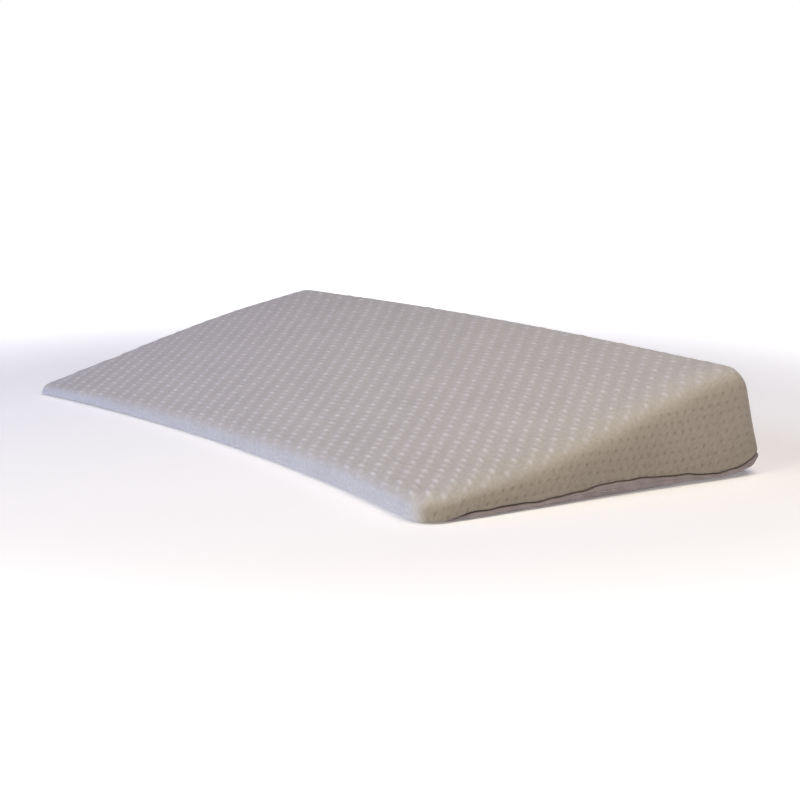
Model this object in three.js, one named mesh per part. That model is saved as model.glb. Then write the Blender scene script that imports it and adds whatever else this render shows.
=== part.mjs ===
// Wedge pillow: a foam-filled wedge in a sewn knit cover.
// Millimetres. +X runs along the thin edge, +Y towards the thick end, +Z up.
// The origin is on the surface that it rests on, under the middle of its bounding box.
import * as THREE from 'three';

// Overall form
const width = 600;
const run = 300;
const thinLeft = 7;
const thinRight = 15.5;
const thickEnd = 80;
const backCrown = 4.7;
const slopeCrown = 13;
const sideCrownShare = 0.7;
const backLean = 20;

// How far the middle of each side is drawn in from the line between its corners
const frontDrawnIn = 25;
const backDrawnIn = 3;
const sideDrawnIn = 1.5;

// Rounding in plan, and of the edge between the top and the sides
const cornerRadius = { frontRight: 26, backRight: 15, backLeft: 22, frontLeft: 8 };
const smallestCornerShare = 0.3;
const topEdgeRadius = 18;
const topEdgeShare = 0.8;

// Base panel: a sheet under the filling, turned up to the seam all round
const panelThickness = 2;
const gap = 0.4;
const innerGap = 0.6;
const sideSeamInset = 1.2;
const seamHeightFront = 3.4;
const seamHeightBack = 7.4;
const seamRise = 3.8;
const seamRiseAt = 0.58;
const seamRiseSpread = 0.17;
const seamWave = 0.7;
const seamWaves = 5;
const seamCornerRise = 14.5;

// Along the thin edge the cover wraps under to its seam, which comes out on the sides
// between these two distances from that edge
const seamUnderUntil = 8;
const seamOutFrom = 42;
const frontSeamInset = 6;
const frontTuck = 7.5;
const lipHeight = 0.3;
const lipInset = 3;
const lipOverhang = 1;
const lipReturn = 0.65;
const lipClearance = 0.4;

// How far the flat underside lies inside the outline
const tuckFront = 4.2;
const tuckBack = 11.5;
const tuckCorner = 38;

// Steps around the outline and across each rounded edge
const longSideSteps = 32;
const shortSideSteps = 16;
const cornerSteps = 6;
const tuckSteps = 4;
const wallSteps = 3;
const edgeSteps = 5;
const topSteps = 9;

const halfWidth = width / 2;
const mix = (a, b, t) => a + (b - a) * t;
const clamp = (value, low, high) => Math.min(Math.max(value, low), high);
const across = (x) => clamp(x / halfWidth, -1, 1);
const along = (y) => clamp(y / run, 0, 1);
const hump = (u) => 1 - u * u;

// 0 along the thin edge, where the seam is underneath, and 1 where it is on the sides
function seamShows(y) {
  const t = clamp((y - seamUnderUntil) / (seamOutFrom - seamUnderUntil), 0, 1);
  return t * t * (3 - 2 * t);
}

// 1 at the two rear corners, falling off within about a tenth of the sides
const nearRearCorner = (u, v) => u ** 12 * v ** 8;

// Height of the top above the resting surface, without the rounding of its edges
function topHeight(x, y) {
  const u = across(x);
  const v = along(y);
  const thin = mix(thinLeft, thinRight, (u + 1) / 2);
  const thick = thickEnd + backCrown * hump(u);
  const crown = slopeCrown * hump(2 * v - 1) * mix(sideCrownShare, 1, hump(u));
  return mix(thin, thick, v) + crown;
}

// Height of the seam between the cover and the base panel
function seamHeight(x, y) {
  const u = across(x);
  const v = along(y);
  const offset = (v - seamRiseAt) / seamRiseSpread;
  const rise = seamRise * Math.exp(-offset * offset) * u ** 8;
  const wave = seamWave * Math.sin(Math.PI * seamWaves * u) * v;
  const corner = seamCornerRise * nearRearCorner(u, v);
  const onSide = mix(seamHeightFront, seamHeightBack, v) + rise + wave + corner;
  return mix(panelThickness, onSide, seamShows(y));
}

function tuckInset(x, y) {
  const v = along(y);
  const onSide = mix(tuckFront, tuckBack, v) + tuckCorner * nearRearCorner(across(x), v);
  return mix(frontTuck, onSide, seamShows(y));
}

// Moves a point of the straight-sided wedge to where the stretched cover draws it
function drawnIn(x, y, z) {
  const u = across(x);
  const v = along(y);
  const rise = z / topHeight(x, y);
  const front = frontDrawnIn * hump(u) * (1 - v);
  const back = backDrawnIn * hump(u) * v + backLean * rise * v * v;
  const side = sideDrawnIn * u * hump(2 * v - 1);
  return [x - side, y + front - back, z];
}

const corners = [
  { radius: cornerRadius.frontRight, x: 1, y: 0, start: -90, sideSteps: shortSideSteps },
  { radius: cornerRadius.backRight, x: 1, y: 1, start: 0, sideSteps: longSideSteps },
  { radius: cornerRadius.backLeft, x: -1, y: 1, start: 90, sideSteps: shortSideSteps },
  { radius: cornerRadius.frontLeft, x: -1, y: 0, start: 180, sideSteps: longSideSteps },
];

// A point on a rounded corner of the straight-sided outline, moved inwards by an inset
function cornerPoint(corner, turn, inset) {
  const radius = Math.max(corner.radius - inset, corner.radius * smallestCornerShare);
  const angle = THREE.MathUtils.degToRad(corner.start + 90 * turn);
  const centreX = corner.x * (halfWidth - inset - radius);
  const centreY = corner.y === 0 ? inset + radius : run - inset - radius;
  return [centreX + radius * Math.cos(angle), centreY + radius * Math.sin(angle)];
}

// Functions that each give one point of the outline at an inset, in order around it
const outline = corners.flatMap((corner, index) => {
  const next = corners[(index + 1) % corners.length];
  const points = [];
  for (let step = 0; step <= cornerSteps; step += 1) {
    points.push((inset) => cornerPoint(corner, step / cornerSteps, inset));
  }
  for (let step = 1; step < corner.sideSteps; step += 1) {
    const t = step / corner.sideSteps;
    points.push((inset) => {
      const [fromX, fromY] = cornerPoint(corner, 1, inset);
      const [toX, toY] = cornerPoint(next, 0, inset);
      return [mix(fromX, toX, t), mix(fromY, toY, t)];
    });
  }
  return points;
});

// The sizes that vary around the outline, at each of its points
const sizes = outline.map((point) => {
  const [x, y] = point(0);
  const shows = seamShows(y);
  const top = topHeight(x, y);
  const seam = seamHeight(x, y);
  const seamInset = mix(frontSeamInset, sideSeamInset, shows);
  const lip = {
    height: mix(lipHeight, seam + gap, shows),
    inset: mix(lipInset, sideSeamInset - lipOverhang, shows),
    seamSide: seamInset - lipReturn,
    upper: seamInset - lipClearance,
  };
  const edgeRadius = Math.min(topEdgeRadius, (top - lip.height) * topEdgeShare);
  return { top, seam, seamInset, tuck: tuckInset(x, y), lip, edgeRadius };
});

// One closed ring of points: place gives the inset and height of each from its sizes
function ring(place) {
  return outline.map((point, index) => {
    const { inset, height } = place(sizes[index]);
    const [x, y] = point(inset);
    return drawnIn(x, y, height);
  });
}

// The turned-up edge from the flat underside to the seam, inside and above the layers below it
function tuckRings({ floorInset, floorHeight, seamLayer, seamLift }) {
  const rings = [];
  for (let step = 0; step <= tuckSteps; step += 1) {
    const angle = (Math.PI / 2) * (step / tuckSteps);
    rings.push(ring(({ seam, seamInset, tuck }) => ({
      inset: mix(tuck + floorInset, seamInset + seamLayer, Math.sin(angle)),
      height: mix(floorHeight, seam + seamLift, 1 - Math.cos(angle)),
    })));
  }
  return rings;
}

// The cover's lower edge: past the seam, down to its lip, and up the side wall to where the top
// edge starts to round over
function wallRings() {
  const rings = [
    ring(({ seam, lip }) => ({ inset: lip.upper, height: seam + gap })),
    ring(({ lip }) => ({ inset: lip.seamSide, height: lip.height })),
  ];
  for (let step = 0; step <= wallSteps; step += 1) {
    const t = step / wallSteps;
    rings.push(ring(({ top, lip, edgeRadius }) => ({
      inset: lip.inset * (1 - Math.sin((Math.PI / 2) * t)),
      height: mix(lip.height, top - edgeRadius, t),
    })));
  }
  return rings;
}

// The rounded edge between the side wall and the top
function edgeRings() {
  const rings = [];
  for (let step = 1; step <= edgeSteps; step += 1) {
    const angle = (Math.PI / 2) * (step / edgeSteps);
    rings.push(outline.map((point, index) => {
      const { edgeRadius } = sizes[index];
      const [x, y] = point(edgeRadius * (1 - Math.cos(angle)));
      return drawnIn(x, y, topHeight(x, y) - edgeRadius * (1 - Math.sin(angle)));
    }));
  }
  return rings;
}

// The crowned top inside its rounded edge, as rings that close in on the middle
function topRings() {
  const start = outline.map((point, index) => point(sizes[index].edgeRadius));
  const rings = [];
  for (let step = 1; step < topSteps; step += 1) {
    const scale = 1 - step / topSteps;
    rings.push(start.map(([startX, startY]) => {
      const x = startX * scale;
      const y = mix(run / 2, startY, scale);
      return drawnIn(x, y, topHeight(x, y));
    }));
  }
  return rings;
}

// Joins rings from the first to the last and closes both ends on a middle point
function closedSolid(rings, firstMiddle, lastMiddle) {
  const count = rings[0].length;
  const vertices = [firstMiddle, ...rings.flat(), lastMiddle];
  const lastIndex = vertices.length - 1;
  const at = (level, index) => 1 + level * count + (index % count);
  const faces = [];
  for (let index = 0; index < count; index += 1) {
    faces.push(0, at(0, index + 1), at(0, index));
    for (let level = 0; level < rings.length - 1; level += 1) {
      faces.push(at(level, index), at(level, index + 1), at(level + 1, index + 1));
      faces.push(at(level, index), at(level + 1, index + 1), at(level + 1, index));
    }
    faces.push(at(rings.length - 1, index), at(rings.length - 1, index + 1), lastIndex);
  }
  const geometry = new THREE.BufferGeometry();
  geometry.setAttribute('position', new THREE.Float32BufferAttribute(vertices.flat(), 3));
  geometry.setIndex(faces);
  geometry.computeVertexNormals();
  return geometry;
}

function middle(height) {
  return drawnIn(0, run / 2, height);
}

// Foam wedge in its knit cover, resting in the base panel
function filledWedge() {
  const lower = tuckRings({
    floorInset: panelThickness / 2 + innerGap,
    floorHeight: panelThickness + innerGap,
    seamLayer: panelThickness + innerGap,
    seamLift: gap,
  });
  const rings = [...lower, ...wallRings(), ...edgeRings(), ...topRings()];
  const mesh = new THREE.Mesh(
    closedSolid(rings, middle(panelThickness + innerGap), middle(topHeight(0, run / 2))),
    new THREE.MeshStandardMaterial({ color: 0xc8c2b8, roughness: 0.95, metalness: 0 }),
  );
  mesh.name = 'filled_wedge';
  return mesh;
}

// Lower sheet of the cover, flat underneath and turned up to the seam
function basePanel() {
  const outside = tuckRings({ floorInset: 0, floorHeight: 0, seamLayer: 0, seamLift: 0 });
  const inside = tuckRings({
    floorInset: panelThickness / 2,
    floorHeight: panelThickness,
    seamLayer: panelThickness,
    seamLift: 0,
  }).reverse();
  const mesh = new THREE.Mesh(
    closedSolid([...outside, ...inside], middle(0), middle(panelThickness)),
    new THREE.MeshStandardMaterial({ color: 0xa39b9c, roughness: 0.95, metalness: 0 }),
  );
  mesh.name = 'base_panel';
  return mesh;
}

const pillow = new THREE.Group();
pillow.add(filledWedge(), basePanel());

// Puts the origin under the middle of the bounding box
const box = new THREE.Box3().setFromObject(pillow);
const centre = box.getCenter(new THREE.Vector3());
pillow.position.set(-centre.x, -centre.y, -box.min.z);

export default pillow;
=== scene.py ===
# Wedge pillow: the knit cover over its filling, the base panel and the seam between them.
# Shapes are worked out in millimetres and turned into metres when a mesh is made.
# +X runs along the thin edge, +Y towards the thick end, +Z up.
import math

import bpy
import numpy as np
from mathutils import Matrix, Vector


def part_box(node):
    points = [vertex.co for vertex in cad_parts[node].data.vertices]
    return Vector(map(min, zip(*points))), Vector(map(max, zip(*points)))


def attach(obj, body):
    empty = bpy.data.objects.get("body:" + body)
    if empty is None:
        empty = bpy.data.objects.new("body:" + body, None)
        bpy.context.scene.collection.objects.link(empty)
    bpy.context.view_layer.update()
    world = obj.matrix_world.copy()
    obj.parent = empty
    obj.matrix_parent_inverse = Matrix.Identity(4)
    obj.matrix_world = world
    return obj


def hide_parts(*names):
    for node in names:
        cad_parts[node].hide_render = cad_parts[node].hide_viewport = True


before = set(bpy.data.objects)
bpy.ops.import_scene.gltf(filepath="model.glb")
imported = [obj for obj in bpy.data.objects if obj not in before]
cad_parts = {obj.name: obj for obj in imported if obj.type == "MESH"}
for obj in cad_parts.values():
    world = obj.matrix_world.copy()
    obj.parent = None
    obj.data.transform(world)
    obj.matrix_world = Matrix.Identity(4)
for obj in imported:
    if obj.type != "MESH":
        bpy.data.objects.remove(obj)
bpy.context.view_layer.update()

MM = 0.001

# Overall form, as in the part's own source, but for the droop of the slope along the right side
WIDTH = 600.0
RUN = 300.0
THIN_LEFT = 7.0
THIN_RIGHT = 15.5
THICK_END = 80.0
BACK_CROWN = 4.7
SLOPE_CROWN = 13.0
SIDE_CROWN_SHARE = 0.7
RIGHT_DROOP = 110.0
RIGHT_DROOP_FROM = 0.7
RIGHT_DROOP_FRONT_POWER = 1.2
RIGHT_DROOP_BACK_POWER = 1.9
BACK_LEAN = 20.0
FRONT_DRAWN_IN = 25.0
BACK_DRAWN_IN = 3.0
SIDE_DRAWN_IN = 1.5
CORNER_RADIUS = {"front_right": 26.0, "back_right": 15.0, "back_left": 22.0, "front_left": 8.0}
SMALLEST_CORNER_SHARE = 0.3
TOP_EDGE_RADIUS = 18.0
TOP_EDGE_SHARE = 0.8
OUTWARDS_STEP = 5.0

# Base panel and seam, also as in the part's source, but for the seam's dip and its wander, which is
# given as the height, length and phase of each wave
PANEL_THICKNESS = 2.0
PANEL_OUTSET = 0.3
GAP = 0.4
INNER_GAP = 0.6
SIDE_SEAM_INSET = 1.2
SEAM_FRONT = 3.4
SEAM_BACK = 7.4
SEAM_RISE = 3.8
SEAM_RISE_AT = 0.58
SEAM_RISE_SPREAD = 0.17
SEAM_RISE_POWER = 8
SEAM_WAVE = 0.7
SEAM_WAVES = 5
SEAM_CORNER_RISE = 14.5
CORNER_POWER_ACROSS = 12
CORNER_POWER_ALONG = 8
SEAM_DIP = 6.5
SEAM_DIP_AT = 0.88
SEAM_DIP_SPREAD = 0.12
SEAM_WANDER = ((0.45, 19.0, 0.5), (0.3, 7.7, 0.0), (0.2, 4.1, 2.0))
SEAM_UNDER_UNTIL = 8.0
SEAM_OUT_FROM = 42.0
FRONT_SEAM_INSET = 6.0
FRONT_TUCK = 7.5
LIP_HEIGHT = 0.3
LIP_INSET = 3.0
LIP_OVERHANG = 1.0
LIP_RETURN = 0.65
LIP_CLEARANCE = 0.4
TUCK_FRONT = 4.2
TUCK_BACK = 11.5
TUCK_CORNER = 38.0

# The seam's groove: how high and how deep the cloth rolls into it on each side
COVER_ROLL = 3.4
PANEL_ROLL = 2.2
PANEL_ROLL_UNDER = 0.5
GROOVE_DEPTH = 2.0
PUCKER_HEIGHT = 0.4
PUCKER_LENGTH = 12.0
PUCKER_REACH = 9.0
PUCKER_START = 1.5

# Knit: the bubbles stand in columns, given by the steps to two neighbours at mid slope, and
# every other bubble is the larger one. The widths of bubbles and of their columns are shares of
# those steps, and the bubbles' height and the pinholes' width are in millimetres.
STEP_ACROSS = np.array([14.5, 2.2])
STEP_ALONG = np.array([-4.75, 4.83])
KNIT_START = np.array([-2.5, -150.0])
BUBBLE_HEIGHT = 0.5
BUBBLE_SIZE = (0.15, 0.23)
BUBBLE_PALE_SIZE = (0.14, 0.2)
BUBBLE_CHANGE = 0.32
COLUMN_SIZE = 0.17
PINHOLE_SIZE = 0.75
BUBBLE_UNEVENNESS = 0.25

# How far the knit shifts along x and y for each millimetre that the right side droops
DROOP_GATHER = np.array([2.0, -1.3])

# Where the knit's relief is left: its share at the thick end and where it is stretched, and where
# it starts to fade, and over how much, across the thin edge in mm and round the top edge as a share
BACK_SHARE = 0.7
STRETCHED_SHARE = 0.1
FRONT_FACE_UNTIL = 9.0
FRONT_FACE_FADE = 12.0
FACES_FRONT_FROM = 0.6
FACES_FRONT_FADE = 0.35
RELIEF_FADE_FROM = 0.3
RELIEF_FADE = 0.6
STRETCH_FROM = 0.4
STRETCH_FADE = 0.5

# The height above the lip that is given to the slope, which is out of reach of the seam
ABOVE_ON_SLOPE = 100.0

# How the cloth lies skewed, pulled over the foam: the shift in mm along x and y that goes with
# each power of the place across and of the place along, both taken from -1 to 1 over the slope
CLOTH_SKEW = {
    (2, 0): (-2, 4),
    (1, 1): (-8, 6),
    (0, 2): (50, -25),
    (3, 0): (2, 11),
    (2, 1): (40, -20),
    (1, 2): (-26, 8),
    (0, 3): (0, -10),
}

# Colours of the cover: smooth cloth on the thin edge, paler and bluer with painted cool light, and on the
# rounded edge, warmer with painted warm light; then the relief's low and high parts, partly the yarn's own
# tones and partly painted shade in the valleys and painted highlight on the bubbles; the stretched sides,
# darker with painted shade, and their pinholes, darker still with painted shade; the base panel's two
# shades are a darker knit, partly greyer yarn and partly painted shade of its strip that faces down
FRONT_FACE_COOL_LIT_COLOR = (0.575, 0.575, 0.610, 1)
EDGE_WARM_LIT_COLOR = (0.572, 0.530, 0.490, 1)
VALLEY_TONE_AND_SHADE_COLOR = (0.480, 0.456, 0.430, 1)
BUBBLE_TONE_AND_HIGHLIGHT_COLOR = (0.660, 0.635, 0.648, 1)
STRETCHED_SIDE_SHADED_COLOR = (0.404, 0.361, 0.309, 1)
PINHOLE_SHADE_COLOR = (0.240, 0.215, 0.180, 1)
BASE_DARK_COLOR = (0.312, 0.270, 0.282, 1)
BASE_PALE_COLOR = (0.375, 0.330, 0.345, 1)

# Loops of the two knits, and their fuzz and patches: widths in mm
WALE, COURSE, FUZZ, PATCH = 1.1, 0.9, 2.6, 38
BASE_WALE, BASE_COURSE, BASE_FUZZ, BASE_PATCH = 1.8, 1.2, 1.6, 12

# How high above the lip the stretched side is darker with painted shade, where it leans in and faces a
# little down, in metres
SIDE_SHADE_HEIGHT = 0.035

# Mesh steps: the fine cover, and the coarse copy that the cloth simulation moves
FINE = {"across": 316, "along": 152, "down": 35, "roll": 6}
COARSE = {"across": 79, "along": 38, "down": 14, "roll": 2}
TUCK_LEVELS = 3
PANEL_STEPS = 4

# Cloth simulation
SHRINK = 0.6
SIM_FRAMES = 20
SIM_CAP = 1.4
SIM_EVENING = 8
SIM_SETTINGS = {
    "use_pressure": True,
    "uniform_pressure_force": 4.0,
    "quality": 8,
    "mass": 0.3,
    "tension_stiffness": 25,
    "compression_stiffness": 25,
    "shear_stiffness": 10,
    "bending_stiffness": 2,
}

# Studio, in metres: a floor a hair below the pillow, and a round wall that it turns up into
FLOOR_RADII = (0.001, 0.3, 0.6, 1.0, 1.5, 2.0, 2.4)
FLOOR_HEIGHT = -0.0002
BEND_FROM = 3.2
BEND_RADIUS = 0.8
BEND_STEPS = 12
WALL_HEIGHT = 0.5

# Camera: angles in degrees, distance in metres, lens and sensor in millimetres
CAMERA_AZIMUTH = 56.49
CAMERA_ELEVATION = 9.77
CAMERA_AIM = (-0.0979, 0.1004, 0.0)
CAMERA_DISTANCE = 1.621
CAMERA_LENS = 84.31
CAMERA_SENSOR = 36


def mix(a, b, t):
    return a + (b - a) * t


def smooth(t):
    t = np.clip(t, 0, 1)
    return t * t * (3 - 2 * t)


def across(x):
    return np.clip(x / (WIDTH / 2), -1, 1)


def along(y):
    return np.clip(y / RUN, 0, 1)


def hump(u):
    return 1 - u * u


def near_rear_corner(u, v):
    return u**CORNER_POWER_ACROSS * v**CORNER_POWER_ALONG


def seam_dip(u, v):
    """The seam nearly meets the floor just before the rear right corner."""
    offset = (v - SEAM_DIP_AT) / SEAM_DIP_SPREAD
    return SEAM_DIP * np.exp(-offset * offset) * np.clip(u, 0, 1) ** CORNER_POWER_ACROSS


def seam_shows(y):
    """0 along the thin edge, where the seam is underneath, and 1 where it is on the sides."""
    return smooth((y - SEAM_UNDER_UNTIL) / (SEAM_OUT_FROM - SEAM_UNDER_UNTIL))


def top_height(x, y):
    u, v = across(x), along(y)
    thin = mix(THIN_LEFT, THIN_RIGHT, (u + 1) / 2)
    thick = THICK_END + BACK_CROWN * hump(u)
    crown = SLOPE_CROWN * hump(2 * v - 1) * mix(SIDE_CROWN_SHARE, 1, hump(u))
    return mix(thin, thick, v) + crown - right_droop(u, v)


def right_droop(u, v):
    """The cover pulls the slope down along the right side, which the part's source leaves straight."""
    reach = np.clip((u - RIGHT_DROOP_FROM) / (1 - RIGHT_DROOP_FROM), 0, 1)
    return RIGHT_DROOP * v**RIGHT_DROOP_FRONT_POWER * (1 - v) ** RIGHT_DROOP_BACK_POWER * reach**2


def round_the_seam(x, y):
    """A length that changes along every side of the pillow, for waves that run round the seam."""
    return x + 1.3 * y


def seam_wander(x, y):
    """Small unevenness of a hand-guided seam, which the part's source leaves out."""
    s = round_the_seam(x, y)
    return sum(height * np.sin(s / length + phase) for height, length, phase in SEAM_WANDER)


def seam_height(x, y):
    u, v = across(x), along(y)
    offset = (v - SEAM_RISE_AT) / SEAM_RISE_SPREAD
    rise = SEAM_RISE * np.exp(-offset * offset) * u**SEAM_RISE_POWER
    wave = SEAM_WAVE * np.sin(np.pi * SEAM_WAVES * u) * v
    corner = SEAM_CORNER_RISE * near_rear_corner(u, v)
    on_side = mix(SEAM_FRONT, SEAM_BACK, v) + rise + wave + corner + seam_wander(x, y) - seam_dip(u, v)
    return mix(PANEL_THICKNESS, on_side, seam_shows(y))


def tuck_inset(x, y):
    u, v = across(x), along(y)
    on_side = mix(TUCK_FRONT, TUCK_BACK, v) + TUCK_CORNER * near_rear_corner(u, v)
    return mix(FRONT_TUCK, on_side, seam_shows(y))


def drawn_in(x, y, z):
    """Moves points of the straight-sided wedge to where the stretched cover draws them."""
    u, v = across(x), along(y)
    rise = z / top_height(x, y)
    front = FRONT_DRAWN_IN * hump(u) * (1 - v)
    back = BACK_DRAWN_IN * hump(u) * v + BACK_LEAN * rise * v * v
    side = SIDE_DRAWN_IN * u * hump(2 * v - 1)
    return np.stack([x - side, y + front - back, z + 0 * x], -1)


class Outline:
    """Columns evenly spaced round the outline, from the middle of one rounded corner to the next."""

    corner_x = np.array([1, 1, -1, -1])
    corner_y = np.array([0, 1, 1, 0])
    corner_start = np.array([-90, 0, 90, 180])
    corner_radius = np.array(list(CORNER_RADIUS.values()))

    def __init__(self, steps):
        self.counts = [steps["along"], steps["across"], steps["along"], steps["across"]]
        places = []
        for side, (count, length) in enumerate(zip(self.counts, [RUN, WIDTH, RUN, WIDTH])):
            places += self.places_on(side, count, length)
        self.corner = np.array([p[0] for p in places])
        self.turn = np.array([p[1] for p in places])
        self.share = np.array([p[2] for p in places])
        self.columns = len(places)
        rim = self.at(0)
        x, y = rim.T
        self.shows = seam_shows(y)
        self.top = top_height(x, y)
        self.seam = seam_height(x, y)
        self.tuck = tuck_inset(x, y)
        self.seam_inset = mix(FRONT_SEAM_INSET, SIDE_SEAM_INSET, self.shows) + GROOVE_DEPTH * self.shows
        self.lip = mix(LIP_HEIGHT, self.seam + GAP, self.shows)
        self.lip_inset = mix(LIP_INSET, SIDE_SEAM_INSET - LIP_OVERHANG + GROOVE_DEPTH, self.shows)
        self.edge = np.minimum(TOP_EDGE_RADIUS, (self.top - self.lip) * TOP_EDGE_SHARE)
        outwards = rim - self.at(OUTWARDS_STEP)
        self.outwards = outwards / np.linalg.norm(outwards, axis=1, keepdims=True)
        self.faces_front = smooth((-self.outwards[:, 1] - FACES_FRONT_FROM) / FACES_FRONT_FADE)
        self.arc = self.edge * math.pi / 2

    def places_on(self, side, count, length):
        """Columns of one side as (corner, how far round it, share of the straight to the next)."""
        following = (side + 1) % 4
        first = self.corner_radius[side] * math.pi / 4
        last = self.corner_radius[following] * math.pi / 4
        straight = length - self.corner_radius[side] - self.corner_radius[following]
        places = []
        for step in range(count):
            s = (first + straight + last) * step / count
            if s < first:
                places.append((side, 0.5 + 0.5 * s / first, 0.0))
            elif s < first + straight:
                places.append((side, 1.0, (s - first) / straight))
            else:
                places.append((following, 0.5 * (s - first - straight) / last, 0.0))
        return places

    def corner_point(self, corner, turn, inset):
        full = self.corner_radius[corner]
        radius = np.maximum(full - inset, full * SMALLEST_CORNER_SHARE)
        angle = np.radians(self.corner_start[corner] + 90 * turn)
        x = self.corner_x[corner] * (WIDTH / 2 - inset - radius)
        y = np.where(self.corner_y[corner] == 0, inset + radius, RUN - inset - radius)
        return np.stack([x + radius * np.cos(angle), y + radius * np.sin(angle)], -1)

    def at(self, inset):
        """Points of the straight-sided outline, moved inwards by an inset for each column."""
        start = self.corner_point(self.corner, self.turn, inset)
        end = self.corner_point((self.corner + 1) % 4, 0, inset)
        return mix(start, end, self.share[:, None])

    def ring(self, inset, height):
        return drawn_in(*self.at(inset).T, height)

    def column(self, side, step):
        return (sum(self.counts[:side]) + step) % self.columns


def top_grid(outline):
    """The top inside its rounded edge: a grid spread between the four sides of the outline."""
    rim = outline.at(outline.edge)
    nx, ny = outline.counts[1], outline.counts[0]
    front = rim[[outline.column(3, i) for i in range(nx + 1)]]
    right = rim[[outline.column(0, j) for j in range(ny + 1)]]
    back = rim[[outline.column(1, nx - i) for i in range(nx + 1)]]
    left = rim[[outline.column(2, ny - j) for j in range(ny + 1)]]
    u = np.linspace(0, 1, nx + 1)[:, None, None]
    v = np.linspace(0, 1, ny + 1)[None, :, None]
    between = mix(front[:, None], back[:, None], v) + mix(left[None], right[None], u)
    bilinear = mix(mix(front[0], front[-1], u), mix(back[0], back[-1], u), v)
    return between - bilinear


def side_levels(outline, steps):
    """The cover from its rounded top edge down the side and into the seam, one ring a level."""
    edge, arc, lip = outline.edge, outline.arc, outline.lip
    wall = outline.top - edge - lip
    roll = np.minimum(COVER_ROLL, wall / 2)
    levels = []
    for step in range(1, steps["down"] + 1):
        s = (arc + wall - roll) * step / steps["down"]
        angle = math.pi / 2 * (1 - np.clip(s / arc, 0, 1))
        inset = edge * (1 - np.cos(angle))
        rounded = top_height(*outline.at(inset).T) - edge * (1 - np.sin(angle))
        levels.append(outline.ring(inset, np.where(s < arc, rounded, outline.top - edge - (s - arc))))
    for step in range(1, steps["roll"] + 1):
        angle = math.pi / 2 * step / steps["roll"]
        inset = outline.lip_inset * (1 - math.cos(angle))
        levels.append(outline.ring(inset, lip + roll * (1 - math.sin(angle))))
    return levels


def tucked_levels(outline, rim, clearance):
    """From a rim at the seam down to a flat, at a clearance from the inside of the base panel."""
    levels = []
    floor = PANEL_THICKNESS + clearance
    low = outline.tuck + GROOVE_DEPTH * outline.shows + PANEL_THICKNESS / 2 + clearance
    for step in range(TUCK_LEVELS + 1):
        angle = math.pi / 2 * (1 - step / TUCK_LEVELS)
        inset = mix(low, outline.seam_inset + floor, math.sin(angle))
        levels.append(outline.ring(inset, mix(floor, rim, 1 - math.cos(angle))))
    return levels


def under_levels(outline):
    """The cover's hidden part: past the seam and down to the flat underside of the filling."""
    rim = outline.seam + GAP
    lip = outline.ring(outline.seam_inset - LIP_RETURN, outline.lip)
    behind = outline.ring(outline.seam_inset - LIP_CLEARANCE, rim)
    return [lip, behind, *tucked_levels(outline, rim, INNER_GAP)]


def ring_faces(first, second):
    """Quads between two rings of vertex numbers, facing outwards when the first is the upper one."""
    a, b = np.asarray(first), np.asarray(second)
    return np.stack([a, b, np.roll(b, -1), np.roll(a, -1)], -1)


def fan_faces(ring, middle):
    """Triangles that close a ring on a middle point, facing down for a ring below the rest."""
    return np.stack([ring, np.full(len(ring), middle), np.roll(ring, -1)], -1)


def grid_faces(number):
    """Quads of a grid of vertex numbers, facing up."""
    corners = [number[:-1, :-1], number[1:, :-1], number[1:, 1:], number[:-1, 1:]]
    return np.stack(corners, -1).reshape(-1, 4)


def grid_rim(number):
    """The vertex numbers round a grid, in the order of the outline's columns."""
    return np.concatenate([number[-1, :-1], number[:0:-1, -1], number[0, :0:-1], number[:-1, 0]])


def middle_point(height):
    """The one vertex in the middle of a flat, as an array."""
    return drawn_in(np.array([0.0]), np.array([RUN / 2]), np.array([height]))


class Cover:
    """The cover as arrays: vertices, faces and each vertex's place in the flat cloth."""

    def __init__(self, steps):
        self.steps = steps
        self.outline = Outline(steps)
        grid = top_grid(self.outline)
        x, y = grid[..., 0].ravel(), grid[..., 1].ravel()
        top = drawn_in(x, y, top_height(x, y))
        side = side_levels(self.outline, steps)
        under = under_levels(self.outline)
        self.vertices = np.concatenate([top, *side, *under, middle_point(PANEL_THICKNESS + INNER_GAP)])
        self.grid = np.arange(len(top)).reshape(grid.shape[:2])
        self.from_front = y
        self.rim = grid_rim(self.grid)
        rings = len(top) + np.arange((len(side) + len(under)) * self.outline.columns)
        rings = rings.reshape(-1, self.outline.columns)
        self.side, self.under = rings[: len(side)], rings[len(side) :]
        loops = [self.rim, *rings]
        bands = [ring_faces(a, b) for a, b in zip(loops, loops[1:])]
        self.quads = np.concatenate([grid_faces(self.grid), *bands])
        self.fan = fan_faces(rings[-1], len(self.vertices) - 1)
        self.place, self.length = self.cloth_place(loops)

    def cloth_place(self, loops):
        """Each vertex's place on the flat cloth, which is the plan of the top carried on down the
        sides, and how far down the side it is."""
        place, down = np.zeros((len(self.vertices), 2)), np.zeros(len(self.vertices))
        place[: self.grid.size] = self.vertices[: self.grid.size, :2]
        length = np.zeros(self.outline.columns)
        for before, here in zip(loops, loops[1:]):
            length = length + np.linalg.norm(self.vertices[here] - self.vertices[before], axis=1)
            place[here] = place[self.rim] + self.outline.outwards * length[:, None]
            down[here] = length
        return place, down


def make_object(name, vertices, quads, triangles):
    """A mesh object from arrays in millimetres in the shape's own frame, moved into the row frame."""
    mesh = bpy.data.meshes.new(name)
    mesh.from_pydata(((vertices + ORIGIN) * MM).tolist(), [], quads.tolist() + triangles.tolist())
    mesh.update()
    mesh.shade_smooth()
    obj = bpy.data.objects.new(name, mesh)
    bpy.context.scene.collection.objects.link(obj)
    return obj


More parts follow.
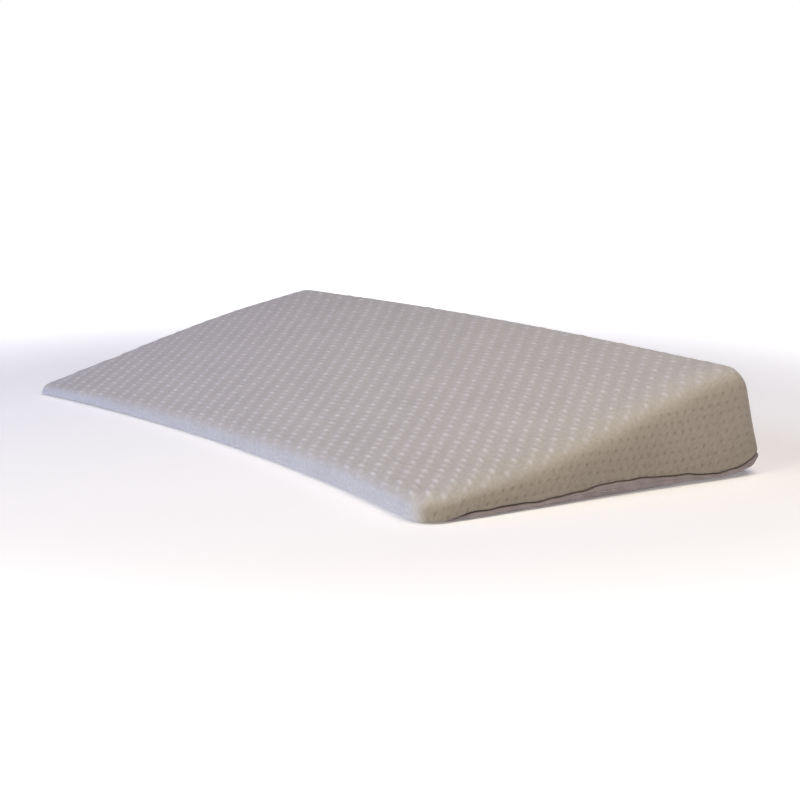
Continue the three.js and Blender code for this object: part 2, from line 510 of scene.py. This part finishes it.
def vertex_values(mesh, values, name):
    flat = np.empty(len(mesh.vertices) * 3, dtype=np.float32)
    values.foreach_get(name, flat)
    return flat.reshape(-1, 3).astype(float)


def positions(mesh):
    return vertex_values(mesh, mesh.vertices, "co") / MM - ORIGIN


def normals(mesh):
    return vertex_values(mesh, mesh.vertex_normals, "vector")


def set_positions(mesh, vertices):
    mesh.vertices.foreach_set("co", ((vertices + ORIGIN) * MM).astype(np.float32).ravel())
    mesh.update()


def add_uv_map(mesh, name, values):
    layer = mesh.uv_layers.new(name=name)
    vertex = np.empty(len(mesh.loops), dtype=np.int32)
    mesh.loops.foreach_get("vertex_index", vertex)
    layer.uv.foreach_set("vector", values[vertex].astype(np.float32).ravel())


def frame_origin():
    """The shift from the shape's own frame to the row frame, from the CAD cover's box."""
    vertices = Cover(COARSE).vertices
    shape_middle = (vertices.min(0) + vertices.max(0)) / 2
    low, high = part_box("filled_wedge")
    cad_middle = (np.array(low) + np.array(high)) / 2 / MM
    return (cad_middle - shape_middle) * [1, 1, 0]


ORIGIN = frame_origin()


def swollen(cover):
    """How far the cloth simulation moves the coarse cover's vertices as the filling presses it out."""
    obj = make_object("cloth_study", cover.vertices, cover.quads, cover.fan)
    last = len(cover.vertices) - 1
    held_numbers = np.concatenate([cover.side[-1], cover.under.ravel(), [last]])
    start = cover.vertices - normals(obj.data) * SHRINK
    start[held_numbers] = cover.vertices[held_numbers]
    set_positions(obj.data, start)
    obj.vertex_groups.new(name="held").add(held_numbers.tolist(), 1.0, "REPLACE")
    cloth = obj.modifiers.new("cloth", "CLOTH")
    for name, value in SIM_SETTINGS.items():
        setattr(cloth.settings, name, value)
    cloth.settings.vertex_group_mass = "held"
    cloth.settings.effector_weights.gravity = 0
    cloth.collision_settings.use_collision = False
    cloth.point_cache.frame_start = 1
    cloth.point_cache.frame_end = SIM_FRAMES
    for number in range(1, SIM_FRAMES + 1):
        bpy.context.scene.frame_set(number)
    result = obj.evaluated_get(bpy.context.evaluated_depsgraph_get()).data
    moved = positions(result) - start
    size = np.linalg.norm(moved, axis=1, keepdims=True)
    moved = moved * np.minimum(1, SIM_CAP / np.maximum(size, 1e-6))
    bpy.context.scene.frame_set(1)
    bpy.data.objects.remove(obj)
    return evened(start + moved - cover.vertices, cover.quads)


def evened(moved, quads):
    """The movement averaged with the neighbours' a few times, so that no coarse crease is left."""
    ends = np.concatenate([quads[:, [i, (i + 1) % 4]] for i in range(4)])
    ends = np.concatenate([ends, ends[:, ::-1]])
    count = 1 + np.bincount(ends[:, 0], minlength=len(moved))[:, None]
    for _ in range(SIM_EVENING):
        total = moved.copy()
        np.add.at(total, ends[:, 0], moved[ends[:, 1]])
        moved = total / count
    return moved


def resampled(field, rows, columns):
    """Values of a grid of vectors at fractional rows and columns, all pairs of them."""
    row = np.clip(np.floor(rows).astype(int), 0, field.shape[0] - 2)
    column = np.clip(np.floor(columns).astype(int), 0, field.shape[1] - 2)
    r, c = (rows - row)[:, None, None], (columns - column)[None, :, None]
    near = mix(field[row][:, column], field[row][:, column + 1], c)
    far = mix(field[row + 1][:, column], field[row + 1][:, column + 1], c)
    return mix(near, far, r)


def carried_over(fine, coarse, moved):
    """The coarse cover's movement, at the vertices of the fine one."""
    out = np.zeros_like(fine.vertices)
    steps, few = fine.steps, coarse.steps
    rows = np.arange(steps["across"] + 1) * few["across"] / steps["across"]
    columns = np.arange(steps["along"] + 1) * few["along"] / steps["along"]
    out[fine.grid] = resampled(moved[coarse.grid], rows, columns)
    rings = np.concatenate([moved[coarse.rim][None], moved[coarse.side]])
    rings = np.concatenate([rings, rings[:, :1]], 1)
    down = np.arange(1, steps["down"] + 1) * few["down"] / steps["down"]
    roll = few["down"] + np.arange(1, steps["roll"] + 1) * few["roll"] / steps["roll"]
    around, passed = [], 0
    for many, fewer in zip(fine.outline.counts, coarse.outline.counts):
        around.append(passed + np.arange(many) * fewer / many)
        passed += fewer
    out[fine.side] = resampled(rings, np.concatenate([down, roll]), np.concatenate(around))
    return out


def knit_place(place):
    """Each place of the cover in the even, unstretched knit."""
    x, y = place.T
    u, v = across(x)[:, None], 2 * along(y)[:, None] - 1
    skew = sum(np.array(shift) * u**i * v**j for (i, j), shift in CLOTH_SKEW.items())
    gathered = right_droop(across(x), along(y))[:, None] * DROOP_GATHER
    return place + KNIT_START + skew + gathered


def knit_relief(place):
    """Height of the knit's bubbles, each a little different."""
    steps = np.stack([STEP_ACROSS, STEP_ALONG], -1)
    count = place @ np.linalg.inv(steps).T
    nearest = np.round(count)
    # A bubble's two numbers scrambled into its own chance, from 0 to 1
    chance = np.abs(np.sin(nearest[:, 0] * 12.9898 + nearest[:, 1] * 78.233) * 43758.5453) % 1
    bubble = np.exp(-0.5 * (((count - nearest) / BUBBLE_SIZE) ** 2).sum(1))
    larger = -np.cos((nearest[:, 0] - nearest[:, 1]) * math.pi)
    return BUBBLE_HEIGHT * bubble * (1 + BUBBLE_CHANGE * larger + BUBBLE_UNEVENNESS * (2 * chance - 1))


def past_front(cover):
    """1 on the thin edge's face, fading to 0 on the slope behind it and round its corners."""
    past = np.zeros(len(cover.vertices))
    past[: cover.grid.size] = smooth((FRONT_FACE_UNTIL - cover.from_front) / FRONT_FACE_FADE)
    for numbers in cover.side:
        from_front = cover.outline.edge - cover.length[numbers]
        on_face = smooth((FRONT_FACE_UNTIL - from_front) / FRONT_FACE_FADE)
        past[numbers] = on_face * cover.outline.faces_front
    return past


def past_edge(cover, start, fade):
    """0 before the rounded top edge and 1 past it, fading from a start by the share of its arc."""
    past = np.ones(len(cover.vertices))
    past[: cover.grid.size] = 0
    for numbers in cover.side:
        past[numbers] = smooth((cover.length[numbers] / cover.outline.arc - start) / fade)
    return past


def above_lip(cover):
    """Height above the seam's lip, and on the slope a height that is out of its reach."""
    above = np.zeros(len(cover.vertices))
    above[: cover.grid.size] = ABOVE_ON_SLOPE
    for numbers in cover.side:
        above[numbers] = cover.vertices[numbers, 2] - cover.outline.lip
    return above


def relief_share(cover):
    """How much of the knit's relief is left: all of it on the slope, little where it is stretched."""
    past = np.maximum(past_edge(cover, RELIEF_FADE_FROM, RELIEF_FADE), past_front(cover))
    share = mix(1, STRETCHED_SHARE, past) * mix(1, BACK_SHARE, along(cover.place[:, 1]))
    into_seam = smooth(1 - above_lip(cover) / (1.5 * COVER_ROLL))
    return share * (1 - into_seam)


def stretched_share(cover):
    """1 where the cover is stretched over the sides and shows its pinholes, and where the sides get their
    painted shade.
    """
    stretch = past_edge(cover, STRETCH_FROM, STRETCH_FADE)
    for numbers in [*cover.side, *cover.under]:
        stretch[numbers] *= 1 - cover.outline.faces_front
    return stretch


def pucker(cover):
    """Small gathers just above the seam, where the stitches pull the stretched cloth."""
    out = np.zeros(len(cover.vertices))
    s = round_the_seam(*cover.outline.at(0).T) / PUCKER_LENGTH * 2 * math.pi
    uneven_length = s + 1.4 * np.sin(s / 3.7)
    uneven_height = 0.6 + 0.4 * np.sin(s / 5.3 + 1)
    wave = PUCKER_HEIGHT * uneven_height * np.sin(uneven_length)
    above = above_lip(cover)
    near_seam = smooth(1 - above / PUCKER_REACH) * smooth(above / PUCKER_START)
    for numbers in cover.side:
        out[numbers] = wave * near_seam[numbers]
    return out


def cover_piece():
    """The cover, swollen by its filling, with the knit's relief and with maps for its material."""
    fine = Cover(FINE)
    moved = np.zeros_like(fine.vertices)
    coarse = Cover(COARSE)
    moved = carried_over(fine, coarse, swollen(coarse))
    obj = make_object("knit_cover", fine.vertices + moved, fine.quads, fine.fan)
    place, share = knit_place(fine.place), relief_share(fine)
    relief = knit_relief(place) * share + pucker(fine)
    set_positions(obj.data, positions(obj.data) + normals(obj.data) * relief[:, None])
    add_uv_map(obj.data, "cloth", place * MM)
    add_uv_map(obj.data, "relief", np.stack([share, stretched_share(fine)], -1))
    add_uv_map(obj.data, "seam", np.stack([above_lip(fine) * MM, past_front(fine)], -1))
    return obj


def panel_piece():
    """The base panel: a sheet turned up to the seam, its upper edge rolled in."""
    outline = Outline(FINE)
    full_inset = mix(FRONT_SEAM_INSET, SIDE_SEAM_INSET - PANEL_OUTSET, outline.shows)
    roll = mix(PANEL_ROLL_UNDER, PANEL_ROLL, outline.shows)
    outer = []
    for step in range(PANEL_STEPS + 1):
        angle = math.pi / 2 * step / PANEL_STEPS
        inset = mix(outline.tuck, full_inset, math.sin(angle))
        outer.append(outline.ring(inset, (outline.seam - roll) * (1 - math.cos(angle))))
    for step in range(1, PANEL_STEPS + 1):
        angle = math.pi / 2 * step / PANEL_STEPS
        inset = mix(full_inset, outline.seam_inset, 1 - math.cos(angle))
        outer.append(outline.ring(inset, outline.seam - roll * (1 - math.sin(angle))))
    rings = outer + tucked_levels(outline, outline.seam, 0)
    number = np.arange(len(rings) * outline.columns).reshape(-1, outline.columns)
    vertices = np.concatenate([*rings, middle_point(0.0), middle_point(PANEL_THICKNESS)])
    quads = np.concatenate([ring_faces(b, a) for a, b in zip(number, number[1:])])
    under = fan_faces(number[0], len(vertices) - 2)
    upper = fan_faces(number[-1], len(vertices) - 1)[:, ::-1]
    obj = make_object("base_cloth", vertices, quads, np.concatenate([under, upper]))
    place = vertices[:, :2].copy()
    length = np.zeros(outline.columns)
    for index, (before, here) in enumerate(zip(outer, outer[1:]), 1):
        length = length + np.linalg.norm(here - before, axis=1)
        place[number[index]] = outer[0][:, :2] + outline.outwards * length[:, None]
    add_uv_map(obj.data, "cloth", place * MM)
    return obj


class Shader:
    """A new material's nodes, added by short calls that take numbers, colours or other sockets."""

    def __init__(self, name):
        self.material = bpy.data.materials.new(name)
        self.material.use_nodes = True
        self.tree = self.material.node_tree
        self.principled = self.tree.nodes["Principled BSDF"]

    def plug(self, socket, value):
        if isinstance(value, bpy.types.NodeSocket):
            self.tree.links.new(value, socket)
        else:
            socket.default_value = value

    def add(self, kind, inputs, **settings):
        node = self.tree.nodes.new(kind)
        for name, value in settings.items():
            setattr(node, name, value)
        for key, value in inputs.items():
            self.plug(node.inputs[key], value)
        return node

    def math(self, operation, *values):
        return self.add("ShaderNodeMath", dict(enumerate(values)), operation=operation).outputs[0]

    def vector(self, operation, *values):
        node = self.add("ShaderNodeVectorMath", dict(enumerate(values)), operation=operation)
        return node.outputs["Value" if operation in ("LENGTH", "DOT_PRODUCT") else "Vector"]

    def scaled(self, value, factor):
        return self.add("ShaderNodeVectorMath", {0: value, "Scale": factor}, operation="SCALE").outputs[0]

    def wave(self, value, length):
        return self.math("SINE", self.math("MULTIPLY", value, 2 * math.pi / length))

    def cloth(self):
        """The place on the flat cloth in millimetres, and its two parts."""
        place = self.vector("MULTIPLY", self.uv("cloth"), (1 / MM, 1 / MM, 0))
        parts = self.add("ShaderNodeSeparateXYZ", {0: place}).outputs
        return place, parts[0], parts[1]

    def pair(self, name):
        """The two values of a map."""
        parts = self.add("ShaderNodeSeparateXYZ", {0: self.uv(name)}).outputs
        return parts[0], parts[1]

    def fade(self, value, start, end, low=0.0, high=1.0):
        inputs = {"Value": value, "From Min": start, "From Max": end, "To Min": low, "To Max": high}
        return self.add("ShaderNodeMapRange", inputs, interpolation_type="SMOOTHSTEP").outputs[0]

    def blend(self, factor, first, second):
        node = self.tree.nodes.new("ShaderNodeMix")
        node.data_type = "RGBA"
        self.plug(node.inputs["Factor"], factor)
        for socket, value in zip([s for s in node.inputs if s.type == "RGBA"], (first, second)):
            self.plug(socket, value)
        return [s for s in node.outputs if s.type == "RGBA"][0]

    def noise(self, place, size):
        """Noise between about 0.3 and 0.7, its features about so many millimetres across."""
        inputs = {"Vector": place, "Scale": 1 / size, "Detail": 3.0, "Roughness": 0.55}
        return self.add("ShaderNodeTexNoise", inputs).outputs["Fac"]

    def uv(self, name):
        return self.add("ShaderNodeUVMap", {}, uv_map=name).outputs[0]

    def total(self, *terms):
        result = terms[0]
        for term in terms[1:]:
            result = self.math("ADD", result, term)
        return result

    def finish(self, color, height):
        """Plugs in the colour and a surface height in millimetres."""
        self.plug(self.principled.inputs["Base Color"], color)
        node = self.add("ShaderNodeBump", {"Height": height, "Distance": MM, "Strength": 1.0})
        self.plug(self.principled.inputs["Normal"], node.outputs["Normal"])
        self.principled.inputs["Roughness"].default_value = 0.95
        self.principled.inputs["Specular IOR Level"].default_value = 0.25
        self.principled.inputs["Sheen Weight"].default_value = 0.12
        self.principled.inputs["Sheen Roughness"].default_value = 0.6
        return self.material


def nearest_in_grid(shader, place, steps, shift):
    """How far a place is from the nearest point of a grid moved by a shift, in steps along each of
    the two directions, and which point that is."""
    moved = shader.vector("SUBTRACT", place, (*shift, 0))
    counts = [shader.vector("DOT_PRODUCT", moved, (*row, 0)) for row in np.linalg.inv(np.stack(steps, -1))]
    whole = [shader.math("ROUND", count) for count in counts]
    return [shader.math("SUBTRACT", *pair) for pair in zip(counts, whole)], whole


def bump(shader, *parts):
    """1 where all parts are 0, fading to almost 0 where any is over 2."""
    squares = [shader.math("MULTIPLY", part, part) for part in parts]
    return shader.math("EXPONENT", shader.math("MULTIPLY", shader.total(*squares), -0.5))


def pale_spots(shader, place):
    """The bubbles, every other one stronger, and the fainter columns that they stand in; their paleness
    is partly the yarn's own and partly painted highlight.
    """
    (off_column, off_row), whole = nearest_in_grid(shader, place, (STEP_ACROSS, STEP_ALONG), (0, 0))
    wide, long = BUBBLE_PALE_SIZE
    bubble = bump(shader, shader.math("DIVIDE", off_column, wide), shader.math("DIVIDE", off_row, long))
    turn = shader.math("MULTIPLY", shader.math("SUBTRACT", *whole), math.pi)
    change = shader.math("MULTIPLY", shader.math("COSINE", turn), -BUBBLE_CHANGE)
    column = bump(shader, shader.math("DIVIDE", off_column, COLUMN_SIZE))
    return shader.math("MULTIPLY", bubble, shader.math("ADD", change, 1.0)), column


def pinholes(shader, place):
    """Small points between the bubbles, where the cloth is dented and darkened with painted shade."""
    steps = (STEP_ACROSS / 2, STEP_ALONG)
    parts, _ = nearest_in_grid(shader, place, steps, STEP_ACROSS / 4 + STEP_ALONG / 2)
    offset = [shader.scaled((*step, 0), part) for step, part in zip(steps, parts)]
    away = shader.vector("LENGTH", shader.vector("ADD", *offset))
    return bump(shader, shader.math("MULTIPLY", away, 1 / PINHOLE_SIZE))


def bubble_knit():
    """Off-white double knit: columns of paler bubbles and duller valleys, partly the yarn's own tones and
    partly painted highlight and painted shade; pinholes where stretched, darkened with painted shade;
    painted cool light on the thin edge's face, painted warm light on the rounded edge and painted shade
    on the stretched sides, more of it low down.
    """
    shader = Shader("bubble_knit")
    place, x, y = shader.cloth()
    share, stretch = shader.pair("relief")
    above, front = shader.pair("seam")
    bubble, column = pale_spots(shader, place)
    bubble = shader.math("MULTIPLY", bubble, share)
    # Paleness of bubbles and columns: partly the yarn's own, partly painted highlight
    pale = shader.total(
        shader.math("MULTIPLY", bubble, 0.85),
        shader.math("MULTIPLY", shader.math("MULTIPLY", column, share), 0.08),
    )
    # Pinholes: dented, and darkened with painted shade
    hole = shader.math("MULTIPLY", pinholes(shader, place), shader.math("POWER", stretch, 3.0))
    loops = shader.math("MULTIPLY", shader.wave(x, WALE), shader.wave(y, COURSE))
    fuzz = shader.noise(place, FUZZ)
    patches = shader.noise(place, PATCH)
    # Painted cool light on the thin edge's face and painted warm light on the rounded edge
    color = shader.blend(share, shader.blend(front, EDGE_WARM_LIT_COLOR, FRONT_FACE_COOL_LIT_COLOR), VALLEY_TONE_AND_SHADE_COLOR)
    color = shader.blend(pale, color, BUBBLE_TONE_AND_HIGHLIGHT_COLOR)
    # Painted shade: the stretched sides darker
    color = shader.blend(stretch, color, STRETCHED_SIDE_SHADED_COLOR)
    color = shader.blend(shader.math("MULTIPLY", hole, 0.5), color, PINHOLE_SHADE_COLOR)
    shade = shader.total(
        shader.fade(patches, 0.3, 0.7, 0.97, 1.03),
        shader.fade(fuzz, 0.3, 0.7, -0.07, 0.07),
        shader.math("MULTIPLY", loops, 0.02),
        # Painted shade: the stretched side darker low down, near the lip
        shader.math("MULTIPLY", shader.fade(above, 0.0, SIDE_SHADE_HEIGHT, -0.14, 0.0), stretch),
    )
    height = shader.total(
        shader.math("MULTIPLY", bubble, 0.2),
        shader.math("MULTIPLY", hole, -0.35),
        shader.math("MULTIPLY", loops, 0.03),
        shader.math("MULTIPLY", fuzz, 0.2),
    )
    return shader.finish(shader.scaled(color, shade), height)


def base_knit():
    """Greyer flat knit of the base panel, with fine ribs; its darkness is partly greyer yarn and partly
    painted shade of the strip that faces down under the seam.
    """
    shader = Shader("base_knit")
    place, x, y = shader.cloth()
    rib, course = shader.wave(x, BASE_WALE), shader.wave(y, BASE_COURSE)
    fuzz = shader.noise(place, BASE_FUZZ)
    patches = shader.noise(place, BASE_PATCH)
    # The base panel's tones: greyer yarn, darkened partly with painted shade of the strip facing down
    color = shader.blend(shader.fade(patches, 0.35, 0.65), BASE_DARK_COLOR, BASE_PALE_COLOR)
    shade = shader.total(
        shader.fade(fuzz, 0.3, 0.7, 0.92, 1.06),
        shader.math("MULTIPLY", rib, 0.06),
        shader.math("MULTIPLY", course, 0.03),
    )
    height = shader.total(
        shader.math("MULTIPLY", rib, 0.12),
        shader.math("MULTIPLY", course, 0.05),
        shader.math("MULTIPLY", fuzz, 0.35),
    )
    return shader.finish(shader.scaled(color, shade), height)


def turned_profile(name, profile, sides=96):
    """A round sheet from its profile, as (radius, height) pairs from the middle outwards, facing up."""
    angles = [2 * math.pi * side / sides for side in range(sides)]
    vertices = [(r * math.cos(a), r * math.sin(a), z) for r, z in profile for a in angles]
    number = np.arange(len(vertices)).reshape(-1, sides)
    quads = np.concatenate([ring_faces(b, a)[:, ::-1] for a, b in zip(number, number[1:])])
    mesh = bpy.data.meshes.new(name)
    mesh.from_pydata(vertices, [], quads.tolist())
    mesh.shade_smooth()
    obj = bpy.data.objects.new(name, mesh)
    bpy.context.scene.collection.objects.link(obj)
    return obj


def backdrop():
    """A pale floor that turns up into a round white wall, the same from every side."""
    floor = turned_profile("floor", [(radius, FLOOR_HEIGHT) for radius in FLOOR_RADII])
    floor.data.materials.append(floor_material())
    profile = [(FLOOR_RADII[-1], FLOOR_HEIGHT)]
    for step in range(BEND_STEPS + 1):
        angle = math.pi / 2 * step / BEND_STEPS
        rise = BEND_RADIUS * (1 - math.cos(angle))
        profile.append((BEND_FROM + BEND_RADIUS * math.sin(angle), FLOOR_HEIGHT + rise))
    profile.append((BEND_FROM + BEND_RADIUS, BEND_RADIUS + WALL_HEIGHT))
    wall = turned_profile("wall", profile)
    wall.visible_diffuse = False
    wall.data.materials.append(wall_material())


def glowing(name):
    """A matt shader whose white glow is still to be set."""
    shader = Shader(name)
    shader.principled.inputs["Roughness"].default_value = 1
    shader.principled.inputs["Specular IOR Level"].default_value = 0
    shader.principled.inputs["Emission Color"].default_value = (1, 1, 1, 1)
    return shader


def floor_material():
    """Pale and lit by the lights under the pillow, and further out white by its own glow."""
    shader = glowing("pale_floor")
    position = shader.tree.nodes.new("ShaderNodeNewGeometry").outputs["Position"]
    radius = shader.vector("LENGTH", position)
    color = shader.blend(shader.fade(radius, 0.45, 1.6), (0.90, 0.90, 0.90, 1), (0, 0, 0, 1))
    shader.plug(shader.principled.inputs["Base Color"], color)
    glow = shader.fade(radius, 0.38, 0.95, 0.2, 1.0)
    shader.plug(shader.principled.inputs["Emission Strength"], glow)
    return shader.material


def wall_material():
    shader = glowing("white_wall")
    shader.principled.inputs["Base Color"].default_value = (0, 0, 0, 1)
    shader.principled.inputs["Emission Strength"].default_value = 1.0
    return shader.material


def area_light(name, place, size, power, color):
    """A soft rectangle aimed at the middle of the pillow's footprint."""
    light = bpy.data.lights.new(name, "AREA")
    light.shape = "RECTANGLE"
    light.size, light.size_y = size
    light.energy = power
    light.color = color
    obj = bpy.data.objects.new(name, light)
    bpy.context.scene.collection.objects.link(obj)
    obj.location = place
    obj.rotation_mode = "QUATERNION"
    obj.rotation_quaternion = (-Vector(place)).to_track_quat("-Z", "Y")


def lights():
    """Soft daylight from above and from the thin side, warmer from the right, bluer from the left."""
    area_light("front", (0.5, -1.7, 0.8), (1.0, 0.8), 16.9, (1.0, 1.0, 0.82))
    area_light("overhead_right", (0.9, 0.0, 1.9), (1.2, 1.2), 16.6, (1.0, 0.91, 0.67))
    area_light("overhead_back", (0.3, 0.9, 1.9), (1.4, 1.4), 14.9, (0.77, 0.79, 1.0))
    area_light("blue_window", (-0.9, -1.6, 0.8), (1.0, 0.8), 10.6, (0.01, 0.14, 1.0))
    area_light("warm_right", (1.5, -0.1, 1.4), (1.0, 1.0), 1.9, (1.0, 0.15, 0.1))
    world = bpy.data.worlds.new("studio")
    world.use_nodes = True
    background = world.node_tree.nodes["Background"]
    background.inputs["Color"].default_value = (1, 1, 1, 1)
    background.inputs["Strength"].default_value = 0.01
    bpy.context.scene.world = world


def camera():
    """The photograph's view: a long lens from the front right, a little above the pillow."""
    azimuth, elevation = math.radians(CAMERA_AZIMUTH), math.radians(CAMERA_ELEVATION)
    level = math.cos(elevation)
    back = Vector((math.sin(azimuth) * level, -math.cos(azimuth) * level, math.sin(elevation)))
    data = bpy.data.cameras.new("camera")
    data.sensor_width = CAMERA_SENSOR
    data.lens = CAMERA_LENS
    obj = bpy.data.objects.new("camera", data)
    bpy.context.scene.collection.objects.link(obj)
    obj.location = Vector(CAMERA_AIM) + back * CAMERA_DISTANCE
    obj.rotation_mode = "QUATERNION"
    obj.rotation_quaternion = (-back).to_track_quat("-Z", "Y")
    bpy.context.scene.camera = obj


cover = cover_piece()
cover.data.materials.append(bubble_knit())
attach(cover, "root")
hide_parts("filled_wedge")

panel = panel_piece()
panel.data.materials.append(base_knit())
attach(panel, "root")
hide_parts("base_panel")

backdrop()
lights()
camera()
bpy.context.scene.view_settings.view_transform = "Standard"
